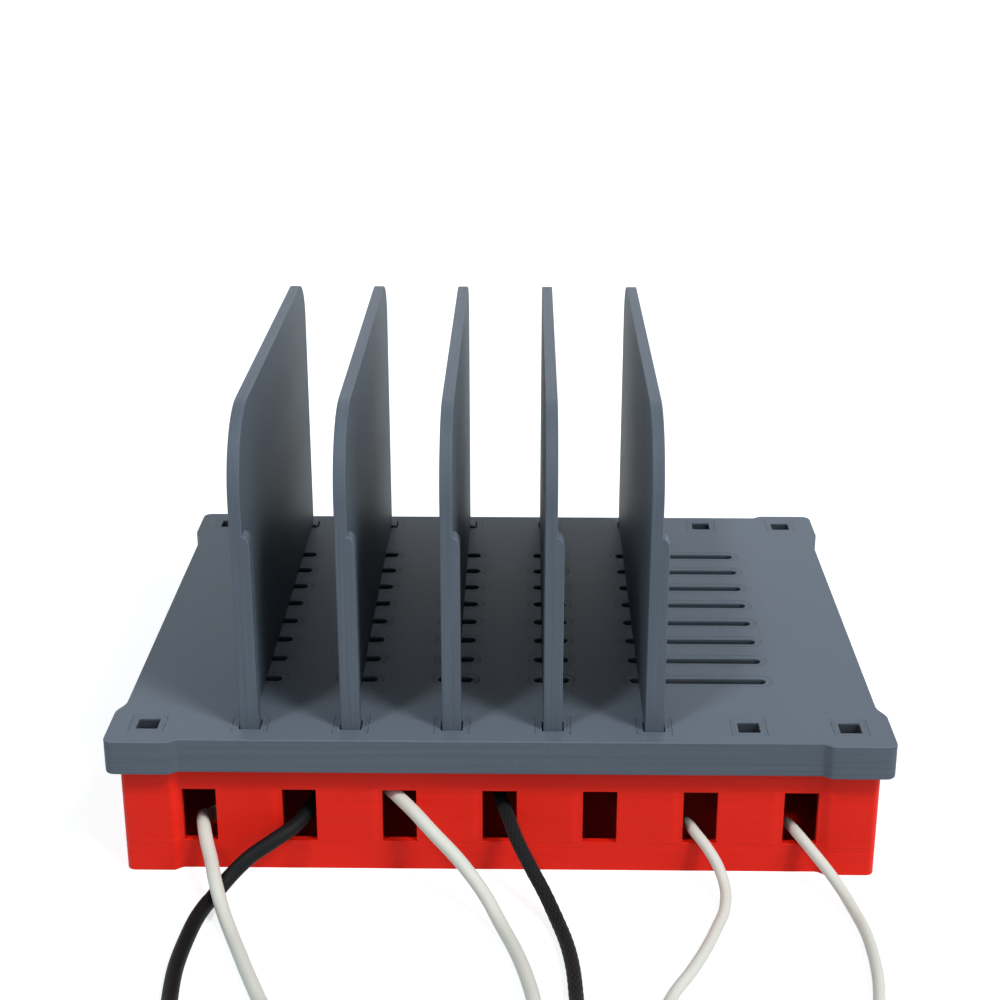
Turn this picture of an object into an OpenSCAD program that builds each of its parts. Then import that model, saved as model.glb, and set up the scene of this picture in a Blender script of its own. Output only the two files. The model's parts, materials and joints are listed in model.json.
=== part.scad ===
// Charging station organizer: a tray that hides a desktop charger, a lid that
// carries upright dividers, and six short charging cords.
// Millimetres. X runs left to right seen from the front, -Y is the front, Z is up,
// and the origin is on the table under the middle of the lid.

/* [Lid] */
// Width of the lid between its corner blocks
lid_w = 190; // [188:1:200]
// Depth of the lid between its corner blocks
lid_d = 150; // [149:1:158]
// Height of the lid's top face above the table
lid_top = 38; // [37:0.5:44]
// Height of the skirt round the lid
skirt_h = 9; // [5:0.5:12]
// Thickness of the skirt
skirt_t = 2.5; // [1.6:0.1:2.6]
// Thickness of the lid's top plate
deck_t = 3; // [2:0.5:3.5]
// How far a corner block stands out at the sides
block_out_side = 2; // [0.5:0.5:3]
// How far a corner block stands out at the front and back
block_out_front = 1.5; // [0.5:0.5:3]
// Length of a corner block along each wall
block_len = 15.5; // [10:0.5:22]

/* [Tray] */
// How far the tray's walls stand in from the lid's
tray_inset = 3; // [2.8:0.1:4]
// Thickness of the tray's walls
tray_wall = 2.2; // [1.6:0.1:2.4]
// Thickness of the tray's floor
floor_t = 3; // [2:0.5:3]
// Width of a cable window
window_w = 8.5; // [7:0.5:12]
// Height of a cable window
window_h = 14.5; // [13:0.5:16]
// Height of a window's sill above the table
window_sill = 8; // [6:0.5:8]

/* [Columns] */
// Spacing of the socket columns and of the windows
pitch = 25; // [24:0.5:25]
// Side of a square socket
socket = 5.3; // [5:0.1:6]
// Distance between the front and back sockets
socket_span = 134.4; // [130:0.2:135]
// Sideways offset of the whole socket and vent pattern
pattern_x = 0.6; // [0:0.1:1]
// Front-to-back offset of the whole socket and vent pattern
pattern_y = 0.65; // [0:0.05:0.65]
// Spacing of the vent rows
vent_pitch = 12; // [8:0.5:14]
// Width of a vent slot
vent_w = 3; // [1.5:0.1:3.2]
// Length of the short vent slots
vent_short = 9; // [5:0.5:12]
// Length of the long vent slots at the right
vent_long = 35.2; // [20:0.2:36]

/* [Dividers] */
// Height of a divider above the lid
divider_h = 79.5; // [60:0.5:120]
// Thickness of a divider
divider_t = 3; // [2:0.1:3.5]
// Radius of the front top corner
front_round = 20; // [5:1:25]
// Radius of the back top corner
back_round = 12; // [5:1:25]
// Side of the square legs and feet
leg = 4.7; // [4:0.1:4.9]
// Height of the front leg above the lid
front_leg_h = 51; // [10:1:55]
// Height of the back leg above the lid
back_leg_h = 0.6; // [0.4:0.2:20]
// Depth of the feet below the lid's top face, short of the tray's rim
foot_h = 2.7; // [1.5:0.1:2.7]

/* [Charger] */
// Width of the charger
charger_w = 160; // [158:1:162]
// Depth of the charger
charger_d = 60; // [58:1:60]
// Height of the charger without its feet
charger_h = 24; // [24:0.5:26]
// Spacing of the charger's ports
port_pitch = 22; // [21:0.5:22]

/* [Hidden] */
$fn = 64;
// How far a cutting shape runs past the face that it cuts
over = 0.5;
// Keeps the straight part of a fully round section from vanishing
tiny = 0.01;

slate = [0.42, 0.45, 0.49];
red = [0.83, 0.14, 0.09];
white = [0.86, 0.86, 0.83];
black = [0.1, 0.1, 0.11];
steel = [0.75, 0.76, 0.78];
board_green = [0.1, 0.35, 0.2];

// Corner blocks: the length of the curved step where each one starts, and the
// number of straight pieces that the curve is drawn with
step_front = 2.8;
step_side = 6;
step_n = 6;
corner_n = 6;
outer_corner = 2.5;
tray_corner = 2;
inner_corner = 1;
// A wall that stands in by 1 mm starts its step this much nearer the corner
step_shift = 1.25;

tray_h = lid_top - deck_t;
tray_back = lid_d / 2 - tray_inset - tray_wall;
window_count = 7;
vent_rows = 8;
spare_columns = [1, 7, 8];
divider_columns = [2, 3, 4, 5, 6];
// The spare columns sit a little closer in than the even spacing
first_column_shift = -0.5;
last_columns_shift = -1.5;

// The tray's rear opening for the mains lead
rear_opening = [28, 18];
rear_opening_z = 7;

// Divider: rounded step at the top of each leg
leg_step_h = 2.6;
leg_step_n = 8;

// Ribs on the tray's floor that hold the charger in place
rib_t = 1.6;
rib_h = 6;
rib_gap = 0.5;
rib_len = 18;

// Charger
foot = [10, 1];
charger_z = floor_t + foot[1];
charger_back_gap = 0.8;
charger_back = tray_back - charger_back_gap;
charger_front = charger_back - charger_d;
split_z = charger_z + charger_h / 2;
shell_t = 2;
shell_corner = 6;
panel = [152, 1.5, 20];
panel_y = charger_front + 0.5;
port_z = split_z;
port = [13.2, 14, 5.7];
port_wall = 0.3;
port_back_t = 0.5;
port_y = panel_y + 0.2;
port_hole_gap = 0.2;
tongue = [11.1, 10.7, 1.7];
tongue_lift = 0.05;
board_t = 1.6;
board_top = port_z - port[2] / 2;
board = [148, 52];
board_y = charger_front + 3;
screw_places = [[-69, 30], [69, 30], [-69, 58], [69, 58]];
screw_hole_d = 3;
screw_d = 2.4;
screw_bore_d = 2.5;
screw_head = [5, 2];
screw_tip_gap = 2;
standoff_d = 6;
foot_places = [[-70, 18], [70, 18], [-70, 60], [70, 60]];
inlet_x = -50;
inlet = [22, 18, 14];
inlet_recess = [16.2, 13, 8];
inlet_notch_gap = 1;
inlet_pin_gap = 8.6;
inlet_pin = [2.4, 10];
capacitor_places = [[-14, 50], [-2, 50], [10, 50]];
capacitor = [10, 11];
transformer_core = [26, 22, 7];
transformer_winding = [18, 18, 4];
transformer_place = [43, 45];

// USB plugs
plug = [15.7, 20, 8];
plug_round = 2;
plug_relief_l = 9;
plug_relief_r = 3.3;
plug_sleeve = [12, 11.75, 4.5];
plug_sleeve_t = 0.3;
plug_core_h = 1.8;
plug_core_gap = 0.5;
plug_back_y = panel_y - plug[1];
cord_start_y = plug_back_y - plug_relief_l;
relief_lip = 0.5;

// Cords: the port that each one uses, its diameter and the kind of its connector
cord_port = [1, 2, 3, 4, 6, 7];
cord_d = [3.4, 3.8, 3.4, 3.5, 2.8, 2.8];
cord_kind = ["oval", "wedge", "oval", "oval", "tab", "tab"];
cord_color = [white, black, white, black, white, white];
cord_sides = 8;

// Routes of the cords' centre lines after they leave their plugs. A point with no
// height lies on the table. The heights inside the tray are above the table too.
route_1 = [[-66, -28, 16], [-67.5, -39, 12.5], [-71, -50, 6.5], [-74.5, -58.5, 7.5], [-75.5, -64.5, 10.5],
    [-74.5, -70, 11.2], [-73, -75.5, 9.8], [-71, -81.5, 8.3], [-69, -88.5, 6.8], [-66, -96.5, 3.5],
    [-62, -106], [-57.5, -117.5], [-53, -128.5], [-48, -140, 3], [-45, -147, 3]];
route_2 = [[-44, -28, 16], [-44, -40, 16], [-44.5, -51, 15.5], [-46, -60, 14.8], [-48, -67, 14.2],
    [-51, -73, 13], [-56, -77, 11], [-62, -80, 7.8], [-67, -83.5, 3.8], [-70, -89], [-72, -96],
    [-73.2, -106], [-73.7, -117], [-73, -128], [-71.5, -139, 3], [-70, -147, 3]];
route_3 = [[-22, -28, 16], [-24, -39, 16], [-27.5, -50, 16.5], [-29, -59, 17.5], [-28, -65, 19.2],
    [-25.5, -70, 19.8], [-21.5, -75, 18.7], [-16.5, -80, 15.8], [-9.5, -86, 11.2], [-3.5, -92, 6],
    [0.5, -99, 2.5], [4.2, -109], [7, -120], [8.5, -130], [7, -140, 3], [5, -148, 3]];
route_4 = [[0, -28, 16], [-0.5, -40, 16], [-0.5, -52, 16], [0, -62, 16.5], [1, -68, 16.3],
    [2.5, -73.5, 15.3], [4.5, -79, 12.7], [7.5, -84.5, 9.3], [11, -90, 5.3], [14, -97, 2.3],
    [16.2, -106], [17.5, -116], [18, -127], [18.3, -138, 3], [18.8, -147, 3]];
route_5 = [[44, -28, 16], [44, -39, 12.5], [44.5, -50, 6.5], [46, -58, 6.5], [47.5, -65, 9.8],
    [49, -70.5, 10.4], [51.7, -75, 8.7], [54.2, -79.5, 6], [55.5, -85, 3], [54.7, -91.5, 1.5],
    [52.5, -98], [49, -107], [44.8, -116], [39.5, -126], [36, -137, 2.5], [35, -146, 2.5]];
route_6 = [[66, -28, 16], [67, -39, 12.5], [69, -50, 6.5], [71, -58, 6.5], [73, -65, 9.8],
    [74.7, -71, 10.4], [77.5, -75.5, 8.6], [80.8, -80, 6], [84, -85.5, 3.2], [86.2, -92.5, 1.6],
    [87.3, -100], [87.5, -109], [87, -118], [85.5, -128], [83.5, -138, 2.5], [81.5, -146, 2.5]];
routes = [route_1, route_2, route_3, route_4, route_5, route_6];

// Device-end connectors
connector_relief_l = 8;
connector_round = 2;
wedge_cut = 0.8;
tab_round = 1.5;

function window_x(i) = (i - (window_count + 1) / 2) * pitch;
function port_x(i) = (i - (window_count + 1) / 2) * port_pitch;
function column_shift(k) = k == 1 ? first_column_shift : k >= 7 ? last_columns_shift : 0;
function column_x(k) = pattern_x + (k - 4.5) * pitch + column_shift(k);
function vent_y(i) = pattern_y + (i - (vent_rows + 1) / 2) * vent_pitch;

function connector_size(kind) = kind == "tab" ? [12.5, 7.8, 5] : [17, 10.6, 6];
function tip_size(kind) =
    kind == "tab" ? [6.6, 6.7, 1.5] :
    kind == "wedge" ? [5.2, 6.9, 1.9] :
    [6.6, 8.3, 2.5];

// A smooth step between two points: straight at both ends, S-shaped between them
function step_curve(a, b, run) =
    [for (i = [0 : step_n])
        let (t = i / step_n, s = (1 - cos(180 * t)) / 2)
        run == "x" ? [a.x + (b.x - a.x) * t, a.y + (b.y - a.y) * s]
                   : [a.x + (b.x - a.x) * s, a.y + (b.y - a.y) * t]];

// A quarter of the organizer's outline, from the side wall round to the back wall
function quarter(inset, corner) =
    let (w = lid_w / 2 - inset, d = lid_d / 2 - inset,
         bw = w + block_out_side, bd = d + block_out_front,
         shift = inset * (step_shift - 1),
         side_y = bd - block_len + shift + inset,
         front_x = bw - block_len + shift + inset)
    concat(
        step_curve([w, side_y - step_side], [bw, side_y], "y"),
        [for (i = [0 : corner_n])
            let (a = 90 * i / corner_n)
            [bw - corner + corner * cos(a), bd - corner + corner * sin(a)]],
        step_curve([front_x, bd], [front_x - step_front, d], "x"));

function mirror_x(p) = [for (i = [len(p) - 1 : -1 : 0]) [-p[i].x, p[i].y]];
function mirror_y(p) = [for (i = [len(p) - 1 : -1 : 0]) [p[i].x, -p[i].y]];

// The whole outline, standing in from the lid's by the given distance
function outline(inset, corner) =
    let (back = concat(quarter(inset, corner), mirror_x(quarter(inset, corner))))
    concat(back, mirror_y(back));

function unit(v) = v / norm(v);

// The points of a cord from its plug to its connector, each with its height
function cord_points(i) =
    concat([[port_x(cord_port[i]), cord_start_y, port_z]],
        [for (p = routes[i]) len(p) == 3 ? p : [p.x, p.y, cord_d[i] / 2]]);

function direction(p, i) =
    i == 0 ? unit(p[1] - p[0]) :
    i == len(p) - 1 ? unit(p[i] - p[i - 1]) :
    unit(unit(p[i + 1] - p[i]) + unit(p[i] - p[i - 1]));

function ring(centre, along, r, n) =
    let (side = unit(cross(along, [0, 0, 1])), top = cross(side, along))
    [for (j = [0 : n - 1]) centre + r * (cos(360 * j / n) * side + sin(360 * j / n) * top)];

module tube(p, r, n) {
    last = (len(p) - 1) * n;
    polyhedron(
        points = [for (i = [0 : len(p) - 1]) each ring(p[i], direction(p, i), r, n)],
        faces = concat(
            [for (i = [0 : len(p) - 2], j = [0 : n - 1])
                [i * n + j, i * n + (j + 1) % n, (i + 1) * n + (j + 1) % n]],
            [for (i = [0 : len(p) - 2], j = [0 : n - 1])
                [i * n + j, (i + 1) * n + (j + 1) % n, (i + 1) * n + j]],
            [[for (j = [n - 1 : -1 : 0]) j]],
            [[for (j = [0 : n - 1]) last + j]]));
}

module rounded_rect(w, d, r) {
    square([w - 2 * r, d], center = true);
    square([w, d - 2 * r], center = true);
    for (x = [-1, 1], y = [-1, 1])
        translate([x * (w / 2 - r), y * (d / 2 - r)]) circle(r = r);
}

// A bar with a rounded section, running towards +Y from the given point
module bar_y(w, l, h, r) {
    translate([0, l, 0]) rotate([90, 0, 0]) linear_extrude(l) rounded_rect(w, h, r);
}

module base_tray() {
    color(red) {
        difference() {
            linear_extrude(tray_h) polygon(outline(tray_inset, tray_corner));
            translate([0, 0, floor_t])
                linear_extrude(tray_h) polygon(outline(tray_inset + tray_wall, inner_corner));
            for (i = [1 : window_count])
                translate([window_x(i) - window_w / 2, -lid_d / 2, window_sill])
                    cube([window_w, tray_inset + tray_wall + over, window_h]);
            translate([inlet_x - rear_opening[0] / 2, tray_back - over, rear_opening_z])
                cube([rear_opening[0], tray_wall + 2 * over, rear_opening[1]]);
        }
        for (side = [-1, 1]) charger_ribs(side);
    }
}

module charger_ribs(side) {
    outer = charger_w / 2 + rib_gap;
    translate([side * (outer + rib_t / 2), 0, floor_t]) {
        translate([-rib_t / 2, charger_front - rib_gap - rib_t, 0]) cube([rib_t, rib_len, rib_h]);
        translate([-rib_t / 2, tray_back - rib_len, 0]) cube([rib_t, rib_len, rib_h]);
        translate([side > 0 ? rib_t / 2 - rib_len : -rib_t / 2, charger_front - rib_gap - rib_t, 0])
            cube([rib_len, rib_t, rib_h]);
    }
}

module lid_deck() {
    color(slate) difference() {
        translate([0, 0, lid_top - skirt_h]) linear_extrude(skirt_h) polygon(outline(0, outer_corner));
        translate([0, 0, lid_top - skirt_h - over])
            linear_extrude(skirt_h - deck_t + over) polygon(outline(skirt_t, inner_corner));
        for (k = concat(spare_columns, divider_columns), side = [-1, 1])
            translate([column_x(k), pattern_y + side * socket_span / 2, tray_h + deck_t / 2])
                cube([socket, socket, deck_t + 2 * over], center = true);
        for (i = [1 : vent_rows]) {
            for (k = [2 : 5]) vent_slot(column_x(k) - vent_short / 2, vent_short, vent_y(i));
            vent_slot(column_x(6) - vent_short / 2, vent_long, vent_y(i));
        }
    }
}

module vent_slot(x, length, y) {
    translate([x, y, tray_h - over]) linear_extrude(deck_t + 2 * over) {
        translate([vent_w / 2, -vent_w / 2]) square([length - vent_w, vent_w]);
        translate([vent_w / 2, 0]) circle(d = vent_w);
        translate([length - vent_w / 2, 0]) circle(d = vent_w);
    }
}

module divider_side() {
    half = (socket_span + leg) / 2;
    translate([-half, 0]) square([front_round, divider_h - front_round]);
    translate([front_round - half, 0]) square([2 * half - front_round - back_round, divider_h]);
    translate([half - back_round, 0]) square([back_round, divider_h - back_round]);
    translate([front_round - half, divider_h - front_round]) circle(r = front_round);
    translate([half - back_round, divider_h - back_round]) circle(r = back_round);
}

// A square leg seen from the front: its right side steps in to the plate at the top
module leg_front(height) {
    plate_x = divider_t - leg / 2;
    step_w = leg / 2 - plate_x;
    full = max(0, height - leg_step_h);
    polygon(concat(
        [[-leg / 2, -foot_h], [leg / 2, -foot_h]],
        [for (i = [0 : leg_step_n])
            let (a = 90 * i / leg_step_n)
            [plate_x + step_w * cos(a), full + (height - full) * sin(a)]],
        [[-leg / 2, height]]));
}

module divider(i) {
    half = (socket_span + leg) / 2;
    color(slate) translate([column_x(divider_columns[i]), pattern_y, lid_top]) {
        translate([-leg / 2, 0, 0]) rotate([90, 0, 90]) linear_extrude(divider_t) divider_side();
        translate([0, leg - half, 0]) rotate([90, 0, 0]) linear_extrude(leg) leg_front(front_leg_h);
        translate([0, half, 0]) rotate([90, 0, 0]) linear_extrude(leg) leg_front(back_leg_h);
    }
}

// Half of the charger's casing between two heights, closed at its floor or its roof
module charger_half(low, high, closed_below) {
    difference() {
        translate([0, charger_back - charger_d / 2, low])
            linear_extrude(high - low) rounded_rect(charger_w, charger_d, shell_corner);
        translate([0, charger_back - charger_d / 2, closed_below ? low + shell_t : low - over])
            linear_extrude(high - low - shell_t + over)
                rounded_rect(charger_w - 2 * shell_t, charger_d - 2 * shell_t, shell_corner - shell_t);
        translate([-panel[0] / 2, charger_front - over, split_z - panel[2] / 2])
            cube([panel[0], shell_t + 2 * over, panel[2]]);
        translate([inlet_x - inlet[0] / 2, charger_back - shell_t - over, port_z - inlet[2] / 2])
            cube([inlet[0], shell_t + 2 * over, inlet[2]]);
    }
}

module charger_bottom_shell() {
    color(black) {
        charger_half(charger_z, split_z, true);
        for (p = screw_places) translate([p.x, p.y, charger_z + shell_t]) difference() {
            cylinder(d = standoff_d, h = board_top - board_t - charger_z - shell_t);
            translate([0, 0, over]) cylinder(d = screw_bore_d, h = charger_h);
        }
    }
}

module charger_top_shell() {
    color(black) charger_half(split_z, charger_z + charger_h, false);
}

module charger_front_panel() {
    hole = [port[0] + 2 * port_hole_gap, port[2] + 2 * port_hole_gap];
    color(black) difference() {
        translate([-panel[0] / 2, panel_y, split_z - panel[2] / 2]) cube(panel);
        for (i = [1 : window_count])
            translate([port_x(i) - hole[0] / 2, panel_y - over, port_z - hole[1] / 2])
                cube([hole[0], panel[1] + 2 * over, hole[1]]);
    }
}

module charger_board() {
    color(board_green) difference() {
        translate([-board[0] / 2, board_y, board_top - board_t]) cube([board[0], board[1], board_t]);
        for (p = screw_places) translate([p.x, p.y, board_top - board_t - over])
            cylinder(d = screw_hole_d, h = board_t + 2 * over);
        translate([inlet_x - inlet[0] / 2 - inlet_notch_gap, charger_back - inlet[1] - inlet_notch_gap,
                board_top - board_t - over])
            cube([inlet[0] + 2 * inlet_notch_gap, inlet[1], board_t + 2 * over]);
    }
}

module charger_screws() {
    color(steel) for (p = screw_places) translate([p.x, p.y, 0]) {
        translate([0, 0, board_top]) cylinder(d = screw_head[0], h = screw_head[1]);
        translate([0, 0, charger_z + shell_t + screw_tip_gap])
            cylinder(d = screw_d, h = board_top - charger_z - shell_t - screw_tip_gap);
    }
}

module port_shell(i) {
    color(steel) difference() {
        translate([port_x(i) - port[0] / 2, port_y, port_z - port[2] / 2]) cube(port);
        translate([port_x(i) - port[0] / 2 + port_wall, port_y - over, port_z - port[2] / 2 + port_wall])
            cube([port[0] - 2 * port_wall, port[1] - port_back_t + over, port[2] - 2 * port_wall]);
    }
}

module usb_port_shells() {
    for (i = cord_port) port_shell(i);
}

module usb_port_shell_spare() {
    port_shell(5);
}

module usb_port_tongues() {
    back = port_y + port[1] - port_back_t;
    color(white) for (i = [1 : window_count])
        translate([port_x(i) - tongue[0] / 2, back - tongue[1], port_z + tongue_lift]) cube(tongue);
}

module mains_inlet() {
    color(black) translate([inlet_x, charger_back, port_z]) difference() {
        translate([-inlet[0] / 2, -inlet[1], -inlet[2] / 2]) cube(inlet);
        translate([0, -inlet_recess[1], 0])
            bar_y(inlet_recess[0], inlet_recess[1] + over, inlet_recess[2], inlet_recess[2] / 2 - tiny);
    }
}

module inlet_pins() {
    color(steel) for (side = [-1, 1])
        translate([inlet_x + side * inlet_pin_gap / 2, charger_back - inlet_recess[1], port_z])
            rotate([-90, 0, 0]) cylinder(d = inlet_pin[0], h = inlet_pin[1]);
}

module charger_transformer() {
    color(black) translate([transformer_place.x, transformer_place.y, board_top]) {
        translate([-transformer_core[0] / 2, -transformer_core[1] / 2, 0]) cube(transformer_core);
        translate([-transformer_winding[0] / 2, -transformer_winding[1] / 2, transformer_core[2]])
            cube(transformer_winding);
    }
}

module charger_capacitors() {
    color("dimgray") for (p = capacitor_places) translate([p.x, p.y, board_top])
        cylinder(d = capacitor[0], h = capacitor[1]);
}

module charger_feet() {
    color(black) for (p = foot_places) translate([p.x, p.y, floor_t])
        cylinder(d = foot[0], h = foot[1]);
}

module usb_plug(i) {
    color(cord_color[i]) translate([port_x(cord_port[i]), plug_back_y, port_z]) {
        bar_y(plug[0], plug[1], plug[2], plug_round);
        rotate([90, 0, 0]) cylinder(h = plug_relief_l, r1 = plug_relief_r, r2 = cord_d[i] / 2 + relief_lip);
    }
}

module plug_shell(i) {
    inner = plug_sleeve + [-2 * plug_sleeve_t, 2 * over, -2 * plug_sleeve_t];
    color(steel) translate([port_x(cord_port[i]), panel_y + plug_sleeve[1] / 2, port_z]) difference() {
        cube(plug_sleeve, center = true);
        cube(inner, center = true);
    }
}

module plug_tongues() {
    color(white) for (i = [0 : 5])
        translate([port_x(cord_port[i]) - plug_sleeve[0] / 2 + plug_sleeve_t, panel_y,
                port_z - plug_sleeve[2] / 2 + plug_sleeve_t])
            cube([plug_sleeve[0] - 2 * plug_sleeve_t, plug_sleeve[1] - plug_core_gap, plug_core_h]);
}

module cord(i) {
    color(cord_color[i]) tube(cord_points(i), cord_d[i] / 2, cord_sides);
}

// Puts its children at the far end of a cord, with X along the cord
module at_cord_end(i) {
    p = cord_points(i);
    end = p[len(p) - 1];
    before = p[len(p) - 2];
    translate(end) rotate([0, 0, atan2(end.y - before.y, end.x - before.x)]) children();
}

// A bar with a rounded section, running towards +X from the given point
module bar_x(l, w, h, r) {
    rotate([90, 0, 90]) linear_extrude(l) rounded_rect(w, h, r);
}

module connector(i) {
    size = connector_size(cord_kind[i]);
    thin_end = cord_d[i] / 2 + relief_lip / 2;
    thick_end = size[2] / 2 - relief_lip;
    color(cord_color[i]) at_cord_end(i) {
        rotate([0, 90, 0]) cylinder(h = connector_relief_l, r1 = thin_end, r2 = thick_end);
        translate([connector_relief_l, 0, 0]) bar_x(size[0], size[1], size[2], connector_round);
    }
}

module connector_tip(i) {
    kind = cord_kind[i];
    size = tip_size(kind);
    color(steel) at_cord_end(i) translate([connector_relief_l + connector_size(kind)[0], 0, 0]) {
        if (kind == "oval") bar_x(size[0], size[1], size[2], size[2] / 2 - tiny);
        if (kind == "wedge") rotate([90, 0, 90]) linear_extrude(size[0])
            polygon([[-size[1] / 2, size[2] / 2], [-size[1] / 2, 0], [wedge_cut - size[1] / 2, -size[2] / 2],
                [size[1] / 2 - wedge_cut, -size[2] / 2], [size[1] / 2, 0], [size[1] / 2, size[2] / 2]]);
        if (kind == "tab") translate([0, 0, -size[2] / 2]) linear_extrude(size[2]) {
            translate([0, -size[1] / 2]) square([size[0] - tab_round, size[1]]);
            translate([0, tab_round - size[1] / 2]) square([size[0], size[1] - 2 * tab_round]);
            for (side = [-1, 1])
                translate([size[0] - tab_round, side * (size[1] / 2 - tab_round)]) circle(r = tab_round);
        }
    }
}

base_tray();
lid_deck();
divider(0);  // divider_1
divider(1);  // divider_2
divider(2);  // divider_3
divider(3);  // divider_4
divider(4);  // divider_5
charger_bottom_shell();
charger_top_shell();
charger_front_panel();
charger_board();
charger_screws();
usb_port_shells();
usb_port_shell_spare();
usb_port_tongues();
mains_inlet();
inlet_pins();
charger_transformer();
charger_capacitors();
charger_feet();
usb_plug(0);  // usb_plug_1
usb_plug(1);  // usb_plug_2
usb_plug(2);  // usb_plug_3
usb_plug(3);  // usb_plug_4
usb_plug(4);  // usb_plug_5
usb_plug(5);  // usb_plug_6
plug_shell(0);  // plug_shell_1
plug_shell(1);  // plug_shell_2
plug_shell(2);  // plug_shell_3
plug_shell(3);  // plug_shell_4
plug_shell(4);  // plug_shell_5
plug_shell(5);  // plug_shell_6
plug_tongues();
cord(0);  // cord_1
cord(1);  // cord_2
cord(2);  // cord_3
cord(3);  // cord_4
cord(4);  // cord_5
cord(5);  // cord_6
connector(0);  // connector_1
connector(1);  // connector_2
connector(2);  // connector_3
connector(3);  // connector_4
connector(4);  // connector_5
connector(5);  // connector_6
connector_tip(0);  // connector_tip_1
connector_tip(1);  // connector_tip_2
connector_tip(2);  // connector_tip_3
connector_tip(3);  // connector_tip_4
connector_tip(4);  // connector_tip_5
connector_tip(5);  // connector_tip_6
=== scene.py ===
"""A charging station organizer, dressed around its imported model.

Metres, in the model's own frame: X to the right seen from the front, -Y to the front, Z up,
and the origin on the table under the middle of the lid.
"""
import json
import math

import bmesh
import bpy
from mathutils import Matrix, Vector
from mathutils.geometry import tessellate_polygon


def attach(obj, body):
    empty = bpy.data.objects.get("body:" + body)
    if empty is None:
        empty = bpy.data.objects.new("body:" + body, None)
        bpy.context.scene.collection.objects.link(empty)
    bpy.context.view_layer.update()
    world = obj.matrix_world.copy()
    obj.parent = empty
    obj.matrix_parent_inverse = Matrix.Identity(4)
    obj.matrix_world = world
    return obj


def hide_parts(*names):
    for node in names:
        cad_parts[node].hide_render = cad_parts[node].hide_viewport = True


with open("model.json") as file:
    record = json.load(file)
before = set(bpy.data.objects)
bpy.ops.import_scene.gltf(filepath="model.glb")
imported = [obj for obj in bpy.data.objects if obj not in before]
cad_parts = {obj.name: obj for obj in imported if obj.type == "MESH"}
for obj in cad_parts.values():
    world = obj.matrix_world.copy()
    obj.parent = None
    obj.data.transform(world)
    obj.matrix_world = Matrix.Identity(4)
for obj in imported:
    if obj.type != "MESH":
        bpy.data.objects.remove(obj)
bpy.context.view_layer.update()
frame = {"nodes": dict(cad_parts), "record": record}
MM = 0.001


# Camera

CAMERA_PLACE = (0.005778, -0.467453, 0.251140)
CAMERA_PITCH = 0.3652
CAMERA_YAW = -0.0143
SENSOR = 36
FOCAL_LENGTH = 1.81754 * SENSOR


def add_camera():
    data = bpy.data.cameras.new("camera")
    data.sensor_fit = "HORIZONTAL"
    data.sensor_width = SENSOR
    data.lens = FOCAL_LENGTH
    data.clip_start = 0.01
    camera = bpy.data.objects.new("camera", data)
    camera.location = CAMERA_PLACE
    camera.rotation_euler = (math.pi / 2 - CAMERA_PITCH, 0, -CAMERA_YAW)
    bpy.context.scene.collection.objects.link(camera)
    bpy.context.scene.camera = camera


add_camera()


# Shader arithmetic


class Field:
    """A number that varies over a surface. The usual signs combine it with others."""

    def __init__(self, paint, socket):
        self.paint = paint
        self.socket = socket

    def math(self, operation, *others):
        return self.paint.math(operation, self, *others)

    def __add__(self, other):
        return self.math("ADD", other)

    def __sub__(self, other):
        return self.math("SUBTRACT", other)

    def __mul__(self, other):
        return self.math("MULTIPLY", other)

    def __truediv__(self, other):
        return self.math("DIVIDE", other)

    def abs(self):
        return self.math("ABSOLUTE")

    def sine(self):
        return self.math("SINE")

    def least(self, other):
        return self.math("MINIMUM", other)

    def most(self, other):
        return self.math("MAXIMUM", other)

    def above(self, low, high):
        """0 below low, 1 above high and smooth between them. With high the smaller one it is 1
        below it and 0 above low."""
        return self.paint.smooth(self, low, high)

    def bump(self, centre, width):
        """1 at centre, falling smoothly to 0 at width away from it."""
        return self.paint.smooth((self - centre).abs(), width, 0)


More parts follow.
